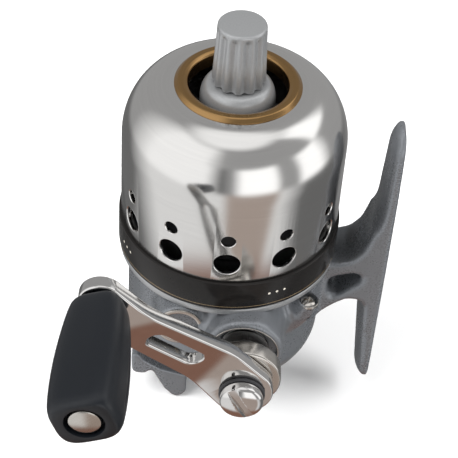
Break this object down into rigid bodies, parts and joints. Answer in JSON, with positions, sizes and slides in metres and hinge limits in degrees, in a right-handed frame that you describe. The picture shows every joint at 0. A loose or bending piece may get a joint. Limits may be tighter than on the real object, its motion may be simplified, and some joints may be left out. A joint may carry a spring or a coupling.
{
  "type": "spincast reel",
  "caption": "Closed-face spincast fishing reel with front cover, crank and paddle grip, front drag knob, rear thumb lever and rod foot.",
  "frame": {"origin": "on the middle line of the rod foot's flat seat, 2 mm in front of its middle", "axes": "+X out of the seat into the rod, +Z along the spool axis towards the nose, crank towards -Y"},
  "size_m": [0.056, 0.0858, 0.088],
  "materials": {
    "cast_silver": "satin",
    "cover_metal": "polished",
    "line_ring_gold": "polished",
    "band_black": "gloss",
    "chrome": "polished",
    "nickel": "brushed",
    "grip_rubber": "matte",
    "knob_silver": "satin",
    "steel": "brushed",
    "brass": "satin",
    "black_plastic": "matte",
    "felt": "matte"
  },
  "bodies": {
    "reel_body": {"body": "cast_silver", "body_screw_1": "nickel", "body_screw_2": "nickel", "body_screw_3": "nickel", "front_cover": "cover_metal", "label_band": "band_black", "line_ring": "line_ring_gold", "deck_plate": "steel", "spool": "black_plastic", "hub_bush": "brass", "pinion_bush": "brass", "shaft_spring": "steel", "lever_pin": "steel", "crank_bush": "brass", "crank_bush_far": "brass", "end_cap": "black_plastic", "pawl_pin": "steel"},
    "crank": {"crank_shaft": "steel", "drive_gear": "brass", "ratchet_wheel": "steel", "hub_cup": "nickel", "crank_arm": "chrome", "crank_seal": "black_plastic", "crank_screw": "chrome", "grip_rivet": "nickel"},
    "grip": {"handle_grip": "grip_rubber"},
    "pinion": {"pinion_gear": "brass"},
    "shaft": {"center_shaft": "steel", "shaft_clip": "steel", "drag_disc": "steel", "drag_washer_rear": "felt", "drag_washer_front": "felt", "pressure_washer": "steel", "drag_spring": "steel"},
    "nut": {"drag_nut": "brass"},
    "knob": {"drag_knob": "knob_silver"},
    "head": {"spinner_head": "black_plastic", "nose_dome": "knob_silver"},
    "pickup": {"pickup_pin": "steel"},
    "lever": {"thumb_lever": "cast_silver"},
    "pawl": {"reverse_pawl": "steel"}
  },
  "joints": [
    {"name": "crank_turn", "type": "hinge", "parent": "reel_body", "child": "crank", "pos_m": [-0.02602, 0, -0.0066], "axis": [0, -1, 0], "continuous": true},
    {"name": "grip_spin", "type": "hinge", "parent": "crank", "child": "grip", "pos_m": [-0.05001, 0, 0.02051], "axis": [0, -1, 0], "continuous": true},
    {"name": "pinion_spin", "type": "hinge", "parent": "reel_body", "child": "pinion", "pos_m": [-0.0301, 0, 0.008], "axis": [0, 0, 1], "continuous": true},
    {"name": "thumb_lever", "type": "hinge", "parent": "reel_body", "child": "lever", "pos_m": [-0.0431, 0, -0.021], "axis": [0, -1, 0], "range_deg": [0, 14]},
    {"name": "shaft_push", "type": "slide", "parent": "pinion", "child": "shaft", "axis": [0, 0, 1], "range_m": [0, 0.0032], "stiffness_N_per_m": 300, "springref_m": -0.004, "deforming": ["shaft_spring"]},
    {"name": "head_slip", "type": "hinge", "parent": "shaft", "child": "head", "pos_m": [-0.0301, 0, 0.008], "axis": [0, 0, 1], "continuous": true},
    {"name": "pickup_slide", "type": "slide", "parent": "head", "child": "pickup", "axis": [-1, 0, 0], "range_m": [0, 0.0015]},
    {"name": "drag_turn", "type": "hinge", "parent": "shaft", "child": "knob", "pos_m": [-0.0301, 0, 0.008], "axis": [0, 0, 1], "range_deg": [-360, 360]},
    {"name": "nut_travel", "type": "slide", "parent": "shaft", "child": "nut", "axis": [0, 0, 1], "range_m": [-0.0007, 0.0007], "deforming": ["drag_spring"]},
    {"name": "pawl_lift", "type": "hinge", "parent": "reel_body", "child": "pawl", "pos_m": [-0.01802, 0, -0.0116], "axis": [0, -1, 0], "range_deg": [0, 20], "stiffness_Nm_per_rad": 0.001}
  ],
  "couplings": [
    {"joint": "pinion_spin", "follows": "crank_turn", "ratio": -3.5},
    {"joint": "thumb_lever", "follows": "shaft_push", "rad_per_m": 76},
    {"joint": "pickup_slide", "follows": "shaft_push", "ratio": 0.45},
    {"joint": "drag_turn", "follows": "nut_travel", "rad_per_m": 8970}
  ]
}
